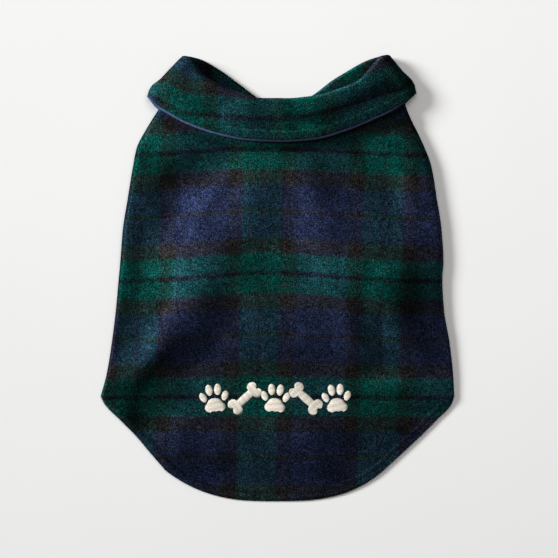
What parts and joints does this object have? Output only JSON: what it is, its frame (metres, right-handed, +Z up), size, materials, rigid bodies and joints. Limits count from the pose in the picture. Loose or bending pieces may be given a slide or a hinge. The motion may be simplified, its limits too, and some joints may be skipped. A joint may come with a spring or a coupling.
{
  "type": "pet pajama top",
  "caption": "Sleeveless pet pajama top in brushed plaid, laid flat on its belly: back panel with a rounded tail, belly panel, armholes beneath and a piped turn-down collar.",
  "frame": {"origin": "middle of the garment's footprint, on the surface that it lies on", "axes": "+Y towards the collar, along the back; +X to the right as seen from above; +Z up from the surface, out of the back"},
  "size_m": [0.3356, 0.4236, 0.0194],
  "materials": {
    "plaid_cloth": "brushed wool-blend twill woven in a blue, green and black plaid, soft nap, matt with a faint sheen",
    "satin_piping": "blue satin over a round cord, soft gloss"
  },
  "bodies": {
    "root": {"back_panel": "plaid_cloth", "belly_panel": "plaid_cloth", "collar": "plaid_cloth", "collar_piping": "satin_piping"}
  },
  "joints": []
}
